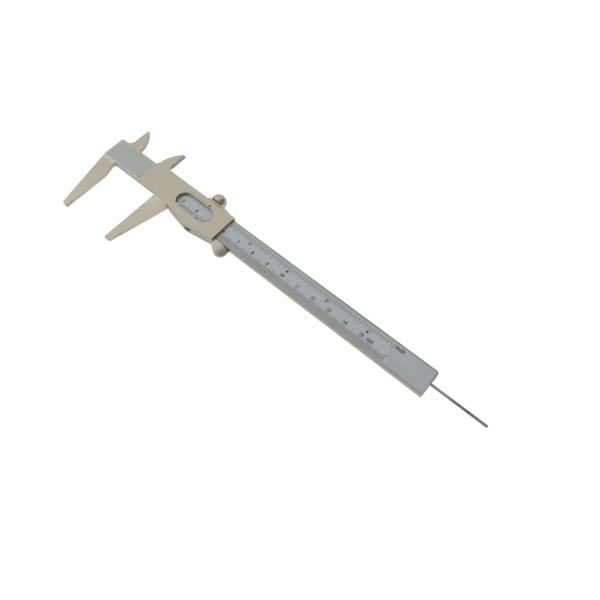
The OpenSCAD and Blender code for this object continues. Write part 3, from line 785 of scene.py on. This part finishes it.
def warm_steel(context):
    """Polished nickel of the slider and its plates, paler along its long sides."""
    colours, sizes = context.scene.caliper_colours, context.scene.caliper_sizes
    band = (ACROSS, BEAM_MID_Y - sizes.side_reach, BEAM_MID_Y + sizes.side_reach, SIDE_SOFT)
    return steel("warm_steel", colours.warm, colours.warm_tint, ALONG_BEAM, band=band)


def jaw_steel(context):
    """The same nickel, ground along the jaws."""
    colours = context.scene.caliper_colours
    return steel("jaw_steel", colours.warm, colours.warm_tint, ALONG_JAW, turn=1.3)


def wall_steel(context):
    """Ground steel of the bar's sides."""
    colours = context.scene.caliper_colours
    return steel("wall_steel", colours.wall, colours.warm_tint, ALONG_BEAM)


def window_satin(context):
    """Satin chrome of the bevel around the sight window."""
    colours = context.scene.caliper_colours
    return steel("window_satin", colours.window, colours.band, ALONG_BEAM, rough=(0.30, 0.38))


def dull_wall(context):
    """Painted shade on the wall at the sight window's left end: dark near the slider's front, paler towards
    the beam.
    """
    colours, sizes = context.scene.caliper_colours, context.scene.caliper_sizes
    band = (UPWARD, SLIDER_TOP_Z - sizes.wall_shade, SLIDER_TOP_Z + sizes.wall_shade, WALL_SOFT)
    return steel("dull_wall", colours.window_wall, colours.window, EVEN, rough=(0.40, 0.50), band=band)


def knife_steel(context):
    """Ground steel of the blades' knife edges and the jaws' right walls, in a pale tone that is painted light
    on these faces, which turn towards the dim side of the room.
    """
    colours = context.scene.caliper_colours
    return steel("knife_steel", colours.knife, colours.edge, ALONG_JAW, rough=(0.50, 0.60))


def bright_edge(context):
    """Rubbed steel along the edges."""
    colours = context.scene.caliper_colours
    return steel("bright_edge", colours.edge, colours.warm_tint, EVEN, rough=(0.18, 0.26))


def turned_steel(context):
    """Turned steel of the small screws and rivets."""
    colours = context.scene.caliper_colours
    return steel("turned_steel", colours.turned, colours.edge, EVEN, rough=(0.26, 0.36))


# Beam and its scales

def on_bar(context, face, start):
    """Whether a face lies within the bar's width, right of a place along it."""
    low, high = bar_edges(context)
    return low - WELD < face.center.y < high + WELD and face.center.x > start


def knife_face(face, side):
    """Whether a face is the slope of a blade's knife edge, on that side of the blade."""
    sloping = side * face.normal.x > UPRIGHT and UPRIGHT < abs(face.normal.z) < LEVEL
    return face.center.y > BEAM_MID_Y + BLADE_FOOT and sloping


def jaw_side(face):
    """Whether a face is the right side wall of an outside jaw."""
    on_jaw = face.center.y < BEAM_MID_Y - JAW_FOOT and face.center.x < OPENING + JAW_REACH
    return on_jaw and face.normal.x > UPRIGHT and abs(face.normal.z) < UPRIGHT


class CALIPER_OT_beam(bpy.types.Operator):
    """Round the beam with its fixed jaw and blade, and finish its faces"""

    bl_idname = "caliper.beam"
    bl_label = "Beam"

    def execute(self, context):
        sizes = context.scene.caliper_sizes
        beam = copy_node("main_beam", "beam_bar")
        jaw, satin, edge = jaw_steel(context), satin_face(context), bright_edge(context)
        rim, wall, knife = beam_rim(context), wall_steel(context), knife_steel(context)
        give(beam, jaw, satin, edge, rim, wall, knife)
        left, start = BEAM_LOW.x, sizes.rub_start
        paint(beam, satin, lambda face: on_bar(context, face, left) and abs(face.normal.z) > FLAT)
        paint(beam, wall, lambda face: on_bar(context, face, start) and abs(face.normal.z) < UPRIGHT)
        paint(beam, rim, lambda face: on_bar(context, face, start) and UPRIGHT < abs(face.normal.z) < FLAT)
        # Knife slopes and the jaw's right wall: ground finish with painted light
        paint(beam, knife, lambda face: knife_face(face, -1) or jaw_side(face))
        round_edges(beam, sizes.beam_edge, rim=edge)
        rounded = slot_of(beam, edge)
        paint(beam, rim, lambda face: on_bar(context, face, start) and face.material_index == rounded)
        smooth(beam, PLATE_SHADE)
        stands_for(beam, "beam", "beam_steel", "main_beam")
        return {"FINISHED"}


def flat_line(context, width, x, y0, y1):
    """One filled line across the beam, with a crowned top."""
    sizes = context.scene.caliper_sizes
    select_none()
    bpy.ops.mesh.primitive_cube_add(
        size=1.0, location=(x, (y0 + y1) / 2, FACE_Z + (sizes.line_h - sizes.line_sink) / 2)
    )
    line = context.object
    line.scale = (width, abs(y1 - y0), sizes.line_h + sizes.line_sink)
    settle(line)
    pick_faces(line, lambda face: face.normal.z > FLAT)
    bpy.ops.mesh.inset(thickness=width * LINE_CROWN, depth=0.0)
    leave()
    return line


def ruled_scale(context, name, width, rows):
    """Scale of filled lines: each row gives its first line, pitch, count and the two ends of its lines."""
    sizes = context.scene.caliper_sizes
    made = []
    for first, pitch, lines, y0, y1 in rows:
        line = flat_line(context, width, sizes.zero_x + first, y0, y1)
        use_modifier(
            line, "ARRAY", count=lines, use_relative_offset=False, use_constant_offset=True,
            constant_offset_displace=(pitch, 0.0, 0.0),
        )
        made.append(line)
    scale = join(name, made)
    give(scale, line_fill(context))
    stands_for(scale, "beam", "beam_steel")


class CALIPER_OT_metric_lines(bpy.types.Operator):
    """Rule the millimetre lines along the beam's lower edge"""

    bl_idname = "caliper.metric_lines"
    bl_label = "Metric Lines"

    def execute(self, context):
        sizes = context.scene.caliper_sizes
        end = sizes.metric_end
        low = bar_edges(context)[0] + sizes.metric_base
        high = low + sizes.metric_short
        rows = [
            (0.0, MM, end + 1, low, high),
            (CM / 2, CM, (end + 5) // 10, high, high + sizes.metric_five),
            (0.0, CM, end // 10 + 1, high, high + sizes.metric_ten),
        ]
        ruled_scale(context, "metric_lines", sizes.metric_w, rows)
        return {"FINISHED"}


class CALIPER_OT_inch_lines(bpy.types.Operator):
    """Rule the inch lines along the beam's upper edge"""

    bl_idname = "caliper.inch_lines"
    bl_label = "Inch Lines"

    def execute(self, context):
        sizes = context.scene.caliper_sizes
        high = bar_edges(context)[1] - sizes.inch_base
        parts = sizes.inch_parts
        rows = []
        for gain in (sizes.inch_short, sizes.inch_step, sizes.inch_step, sizes.inch_half):
            rows.append((0.0, INCH / parts, int(sizes.inch_end * parts) + 1, high, high - gain))
            high -= gain
            parts //= 2
        ruled_scale(context, "inch_lines", sizes.inch_w, rows)
        return {"FINISHED"}


def lettering(context, text, height, raised=True):
    """Raised or flat figure or word of that height, as a mesh centred on the origin."""
    sizes = context.scene.caliper_sizes
    select_none()
    bpy.ops.object.text_add(location=(0.0, 0.0, 0.0))
    figure = context.object
    figure.data.body = text
    figure.data.size = height / DIGIT_SHARE
    figure.data.align_x = "CENTER"
    figure.data.align_y = "CENTER"
    figure.data.extrude = (sizes.line_h + sizes.line_sink) / 2 if raised else 0.0
    figure.data.offset = sizes.numeral_bold
    figure.data.resolution_u = 3
    bpy.ops.object.convert(target="MESH")
    figure = context.object
    edit_all(figure, "VERT")
    bpy.ops.mesh.remove_doubles(threshold=WELD)
    bpy.ops.mesh.normals_make_consistent(inside=False)
    leave()
    return figure


def write_on_beam(context, name, words):
    """Figures on the beam's face: each word has its text, height and place."""
    sizes = context.scene.caliper_sizes
    figures = []
    for text, height, x, y in words:
        figure = lettering(context, text, height)
        figure.location = (x, y, FACE_Z + (sizes.line_h - sizes.line_sink) / 2)
        figures.append(settle(figure))
    row = join(name, figures)
    give(row, line_fill(context))
    stands_for(row, "beam", "beam_steel")


class CALIPER_OT_numerals(bpy.types.Operator):
    """Write the numerals and the unit marks on the beam"""

    bl_idname = "caliper.numerals"
    bl_label = "Numerals"

    def execute(self, context):
        sizes = context.scene.caliper_sizes
        low = bar_edges(context)[0]
        zero, height, unit = sizes.zero_x, sizes.numeral_h, sizes.unit_h
        metric_y = low + sizes.metric_numeral_y
        words = [(str(n), height, zero + n * CM, metric_y) for n in range(1, sizes.metric_last + 1)]
        words.append(("cm", unit, zero + sizes.metric_unit_x, metric_y + sizes.metric_unit_rise))
        write_on_beam(context, "metric_numerals", words)
        first, inch_y = zero - sizes.inch_numeral_back, low + sizes.inch_numeral_y
        words = [(str(n), height, first + n * INCH, inch_y) for n in range(1, sizes.inch_last + 1)]
        words.append(("inch", unit, zero + sizes.inch_unit_x, low + sizes.inch_unit_y))
        write_on_beam(context, "inch_numerals", words)
        return {"FINISHED"}


# Slider and its verniers

def window_face(context, face):
    """Whether a face is on the wall or on the bevel of the sight window."""
    sizes = context.scene.caliper_sizes
    from_x = face.center.x - OPENING - sizes.window_start - sizes.window_len / 2
    from_y = face.center.y - BEAM_MID_Y + sizes.window_drop
    inside = abs(from_x) < sizes.window_len / 2 and abs(from_y) < sizes.window_h / 2
    return inside and face.center.z > FACE_Z and abs(face.normal.z) < LEVEL


class CALIPER_OT_slider(bpy.types.Operator):
    """Round the slider with its jaw, blade and sight window, and finish its faces"""

    bl_idname = "caliper.slider"
    bl_label = "Slider"

    def execute(self, context):
        sizes = context.scene.caliper_sizes
        slider = copy_node("slider_frame", "slider_shell")
        warm, jaw, edge = warm_steel(context), jaw_steel(context), bright_edge(context)
        satin, knife, dull = window_satin(context), knife_steel(context), dull_wall(context)
        give(slider, warm, jaw, edge, satin, knife, dull)
        root, right = BEAM_MID_Y - JAW_FOOT, OPENING + sizes.window_start
        paint(slider, jaw, lambda face: face.center.y < root and face.center.x < right)
        paint(slider, satin, lambda face: window_face(context, face))
        # The window's left wall gets painted shade
        paint(slider, dull, lambda face: window_face(context, face) and face.normal.x > LEFT_END)
        # Knife slopes and the jaw's right wall: ground finish with painted light
        paint(slider, knife, lambda face: knife_face(face, 1) or jaw_side(face))
        round_edges(slider, sizes.slider_edge, rim=edge)
        smooth(slider, PLATE_SHADE)
        stands_for(slider, "slider", "slider_steel", "slider_frame")
        return {"FINISHED"}


def beside_window(context, obj, side, reading, reach):
    """Lay a flat mark at a reading from the vernier's zero, at a reach from the window's edge.

    Marks below the window lie on its bevel, and marks above it lie on the slider's front.
    """
    sizes = context.scene.caliper_sizes
    edge = BEAM_MID_Y - sizes.window_drop + side * sizes.window_h / 2
    x = OPENING + sizes.zero_x + reading
    if side > 0:
        obj.location = (x, edge + reach, SLIDER_TOP_Z)
    else:
        rise = SLIDER_TOP_Z - FACE_Z - sizes.window_lip
        share = reach / math.hypot(rise, sizes.window_bevel)
        obj.rotation_euler = (-math.atan2(rise, sizes.window_bevel), 0.0, 0.0)
        obj.location = (
            x, edge + (1.0 - share) * sizes.window_bevel, FACE_Z + sizes.window_lip + share * rise
        )
    return settle(obj)


def vernier_marks(context, side, span, parts, long_every, step, rise):
    """Thin strips and a numeral beside the window for the parts of a vernier."""
    sizes = context.scene.caliper_sizes
    marks = []
    for line in range(parts + 1):
        reach = sizes.vernier_len * (1.0 if line % long_every else sizes.vernier_long)
        select_none()
        bpy.ops.mesh.primitive_plane_add(size=1.0)
        strip = context.object
        strip.scale = (sizes.vernier_w, reach, 1.0)
        settle(strip)
        edit_all(strip)
        bpy.ops.mesh.subdivide(number_cuts=2)
        leave()
        middle = reach / 2 + sizes.vernier_start
        marks.append(beside_window(context, strip, side, line * span / parts, middle))
    figure = lettering(context, str(parts), sizes.vernier_numeral, raised=False)
    marks.append(beside_window(context, figure, side, span + step, sizes.vernier_numeral * rise))
    return marks


class CALIPER_OT_vernier(bpy.types.Operator):
    """Rule the metric vernier on the window's bevel and the inch vernier on the slider's front"""

    bl_idname = "caliper.vernier"
    bl_label = "Vernier"

    def execute(self, context):
        sizes = context.scene.caliper_sizes
        metric = vernier_marks(
            context, side=-1, span=sizes.vernier_span, parts=sizes.vernier_parts, long_every=5,
            step=sizes.vernier_step, rise=BEVEL_RISE,
        )
        inch_parts = sizes.inch_vernier_parts
        inch = vernier_marks(
            context, side=1, span=INCH / sizes.inch_parts * (inch_parts - 1), parts=inch_parts, long_every=4,
            step=sizes.inch_vernier_step, rise=FRONT_RISE,
        )
        marks = join("vernier_lines", metric + inch)
        use_modifier(
            marks, "SHRINKWRAP", target=bpy.data.objects["slider_shell"],
            wrap_method="NEAREST_SURFACEPOINT", wrap_mode="ABOVE_SURFACE", offset=sizes.line_h,
        )
        use_modifier(marks, "SOLIDIFY", thickness=sizes.line_sink, offset=-1.0)
        give(marks, line_fill(context))
        stands_for(marks, "slider", "slider_steel")
        return {"FINISHED"}


# Pieces on the slider and the beam

class CALIPER_OT_thumb_rest(bpy.types.Operator):
    """Round the thumb rest and its rivets"""

    bl_idname = "caliper.thumb_rest"
    bl_label = "Thumb Rest"

    def execute(self, context):
        sizes, colours = context.scene.caliper_sizes, context.scene.caliper_colours
        nickel = steel("lug_steel", colours.warm, colours.edge, EVEN, rough=(0.26, 0.36))
        finished_copy(
            "thumb_rest", "thumb_lug", ("slider", "slider_steel"), [nickel], sizes.lug_edge,
            segments=4, curve=CURVE_ANGLE, crease=PLATE_SHADE,
        )
        finished_copy(
            "thumb_rest_rivets", "lug_rivets", ("slider", "screw_steel"), [turned_steel(context)],
            sizes.small_edge, crease=ROUND_SHADE,
        )
        return {"FINISHED"}


class CALIPER_OT_clamp_screw(bpy.types.Operator):
    """Model the clamp screw: a polished ball with a flat seat and a shank"""

    bl_idname = "caliper.clamp_screw"
    bl_label = "Clamp Screw"

    def execute(self, context):
        sizes, colours = context.scene.caliper_sizes, context.scene.caliper_colours
        radius = (CLAMP_HIGH.x - CLAMP_LOW.x) / 2
        rise = sizes.ball_lift
        seat = math.sqrt(radius ** 2 - rise ** 2)
        shank = CLAMP_HIGH.y - CLAMP_LOW.y - radius - rise
        select_none()
        bpy.ops.mesh.primitive_uv_sphere_add(segments=96, ring_count=48, radius=radius)
        ball = context.object
        ball.name = "clamp_ball"
        edit_all(ball)
        bpy.ops.mesh.bisect(plane_co=(0.0, 0.0, -rise), plane_no=UPWARD, use_fill=True, clear_inner=True)
        leave()
        pick_faces(ball, lambda face: face.center.z < -rise + WELD)
        bpy.ops.mesh.inset(thickness=seat - sizes.shank_d / 2, depth=0.0)
        bpy.ops.mesh.extrude_region_move(TRANSFORM_OT_translate={"value": (0.0, 0.0, -shank)})
        leave()
        round_edges(ball, sizes.plate_edge, curve=FINE_CURVE_ANGLE)
        ball.rotation_euler = (-math.pi / 2, 0.0, 0.0)
        middle = (CLAMP_LOW + CLAMP_HIGH) / 2
        ball.location = (middle.x, CLAMP_HIGH.y - radius, middle.z)
        settle(ball)
        knob = steel("knob_steel", colours.knob, colours.edge, AROUND_KNOB, rough=(0.16, 0.22), grain=0.03)
        give(ball, knob)
        smooth(ball, SMALL_SHADE)
        stands_for(ball, "clamp", "clamp_steel", "clamp_screw")
        return {"FINISHED"}


class CALIPER_OT_depth_rod(bpy.types.Operator):
    """Chamfer the tip of the depth rod and finish its wire"""

    bl_idname = "caliper.depth_rod"
    bl_label = "Depth Rod"

    def execute(self, context):
        sizes, colours = context.scene.caliper_sizes, context.scene.caliper_colours
        wire = steel("drawn_wire", colours.wire, colours.turned, ALONG_BEAM, rough=(0.25, 0.36))
        finished_copy(
            "depth_rod", "depth_wire", ("slider", "rod_steel"), [wire], sizes.rod_edge,
            curve=ROD_CURVE_ANGLE, crease=ROUND_SHADE,
        )
        return {"FINISHED"}


def plate_with_screws(context, body, plate_names, screw_names):
    """Thin plate and the small screws that hold it."""
    sizes = context.scene.caliper_sizes
    edge = bright_edge(context)
    finished_copy(
        *plate_names, (body, "slider_steel"), [warm_steel(context), edge], sizes.plate_edge,
        curve=CURVE_ANGLE, crease=PLATE_SHADE, rim=edge,
    )
    finished_copy(*screw_names, (body, "screw_steel"), [turned_steel(context)], sizes.small_edge)


class CALIPER_OT_back_cover(bpy.types.Operator):
    """Round the slider's back cover and its screws"""

    bl_idname = "caliper.back_cover"
    bl_label = "Back Cover"

    def execute(self, context):
        plate_with_screws(
            context, "slider", ("slider_back_cover", "back_plate"), ("cover_screws", "plate_screws")
        )
        return {"FINISHED"}


class CALIPER_OT_rod_keeper(bpy.types.Operator):
    """Round the rod's keeper at the beam's end and its screws"""

    bl_idname = "caliper.rod_keeper"
    bl_label = "Rod Keeper"

    def execute(self, context):
        plate_with_screws(context, "beam", ("rod_keeper", "keeper_plate"), ("keeper_screws", "stop_screws"))
        return {"FINISHED"}


class CALIPER_OT_inner_pieces(bpy.types.Operator):
    """Round the leaf in the lower rail and the clamp shoe"""

    bl_idname = "caliper.inner_pieces"
    bl_label = "Leaf and Shoe"

    def execute(self, context):
        sizes, colours = context.scene.caliper_sizes, context.scene.caliper_colours
        blued = steel("blued_leaf", colours.leaf, colours.wire, ALONG_BEAM)
        finished_copy("friction_spring", "bowed_leaf", ("slider", "spring_steel"), [blued], sizes.small_edge)
        brass = steel("shoe_brass", colours.brass, colours.edge, ALONG_BEAM, rough=(0.28, 0.38))
        finished_copy(
            "clamp_shoe", "brass_shoe", ("shoe", "shoe_brass"), [brass], sizes.small_edge, curve=CURVE_ANGLE
        )
        return {"FINISHED"}


# Stage

class CALIPER_OT_stage(bpy.types.Operator):
    """Lay the pale floor, set the light and place the camera"""

    bl_idname = "caliper.stage"
    bl_label = "Stage"

    def execute(self, context):
        stage = context.scene.caliper_stage
        self.lay_floor(context, stage)
        self.set_sky(context, stage)
        self.set_key(context, stage)
        self.place_camera(context, stage)
        context.scene.view_settings.view_transform = "Standard"
        return {"FINISHED"}

    def lay_floor(self, context, stage):
        """Floor that glows for the camera, and less for the steel."""
        select_none()
        bpy.ops.mesh.primitive_plane_add(size=stage.floor_size, location=(0.0, 0.0, TABLE_Z))
        floor = settle(context.object)
        floor.name = "floor"
        made, tree, shader = new_material("pale_floor")
        seen = add(tree, "ShaderNodeLightPath").outputs["Is Camera Ray"]
        looks = {
            "Metallic": 0.0,
            "Roughness": 0.9,
            "Specular IOR Level": 0.0,
            "Base Color": grey(0.1),
            "Emission Color": grey(1.0),
            "Emission Strength": remap(tree, seen, 0.0, 1.0, stage.floor_light, stage.floor_glow),
        }
        for socket, value in looks.items():
            plug(tree, shader.inputs[socket], value)
        give(floor, made)

    def set_sky(self, context, stage):
        """Softbox over the left side, a dim room on the right, and the floor's white behind them."""
        world = bpy.data.worlds.new("studio")
        context.scene.world = world
        world.use_nodes = True
        tree = world.node_tree
        ray = add(tree, "ShaderNodeTexCoord").outputs["Generated"]
        parts = add(tree, "ShaderNodeSeparateXYZ", {0: ray}).outputs
        left = remap(tree, parts["X"], *SKY_SIDE)
        high = remap(tree, parts["Z"], *SKY_RISE, stage.sky_low, 1.0)
        low = remap(tree, parts["Z"], *ROOM_FOOT)
        room = mix(tree, low, grey(stage.sky_dim), grey(stage.sky_far))
        sky = mix(tree, calc(tree, "MULTIPLY", left, high), room, grey(stage.sky_bright))
        seen = add(tree, "ShaderNodeLightPath").outputs["Is Camera Ray"]
        shown = mix(tree, seen, sky, grey(stage.floor_glow))
        tree.links.new(shown, tree.nodes["Background"].inputs["Color"])

    def set_key(self, context, stage):
        """Soft key light that looks at the origin."""
        select_none()
        side = Vector(stage.key_side).normalized()
        bpy.ops.object.light_add(type="AREA", location=side * stage.key_distance)
        key = context.object
        key.name = "key_light"
        key.data.energy = stage.key
        key.data.size = stage.key_size
        key.rotation_euler = side.to_track_quat("Z", "Y").to_euler()

    def place_camera(self, context, stage):
        """Camera at its angle and distance from the point that it looks at."""
        turn, rise = stage.azimuth, stage.elevation
        back = Vector((math.sin(turn) * math.cos(rise), -math.cos(turn) * math.cos(rise), math.sin(rise)))
        place = Vector((stage.aim_x, stage.aim_y, FACE_Z)) + back * stage.distance
        bpy.ops.object.camera_add(location=place, rotation=(math.pi / 2 - rise, 0.0, turn))
        camera = context.object
        camera.data.sensor_width = stage.sensor
        camera.data.lens = stage.lens
        camera.data.clip_start = stage.clip_start
        camera.data.clip_end = stage.clip_end
        context.scene.camera = camera


class CALIPER_PT_pieces(bpy.types.Panel):
    """Panel with one button for each piece"""

    bl_idname = "CALIPER_PT_pieces"
    bl_label = "Vernier Caliper"
    bl_space_type = "VIEW_3D"
    bl_region_type = "UI"
    bl_category = "Caliper"

    def draw(self, context):
        for operator in OPERATORS:
            self.layout.operator(operator.bl_idname)


OPERATORS = (
    CALIPER_OT_beam,
    CALIPER_OT_metric_lines,
    CALIPER_OT_inch_lines,
    CALIPER_OT_numerals,
    CALIPER_OT_slider,
    CALIPER_OT_vernier,
    CALIPER_OT_thumb_rest,
    CALIPER_OT_clamp_screw,
    CALIPER_OT_depth_rod,
    CALIPER_OT_back_cover,
    CALIPER_OT_rod_keeper,
    CALIPER_OT_inner_pieces,
    CALIPER_OT_stage,
)
GROUPS = (CaliperSizes, CaliperColours, CaliperStage)


def register():
    """Register the classes and keep their values on the scene."""
    for made in (*GROUPS, *OPERATORS, CALIPER_PT_pieces):
        bpy.utils.register_class(made)
    bpy.types.Scene.caliper_sizes = PointerProperty(type=CaliperSizes)
    bpy.types.Scene.caliper_colours = PointerProperty(type=CaliperColours)
    bpy.types.Scene.caliper_stage = PointerProperty(type=CaliperStage)


def unregister():
    """Take the values and the classes away again."""
    del bpy.types.Scene.caliper_stage
    del bpy.types.Scene.caliper_colours
    del bpy.types.Scene.caliper_sizes
    for made in reversed((*GROUPS, *OPERATORS, CALIPER_PT_pieces)):
        bpy.utils.unregister_class(made)


def main():
    """Make every piece and the stage in order."""
    register()
    for operator in OPERATORS:
        group, name = operator.bl_idname.split(".")
        getattr(getattr(bpy.ops, group), name)()


if __name__ == "__main__":
    main()
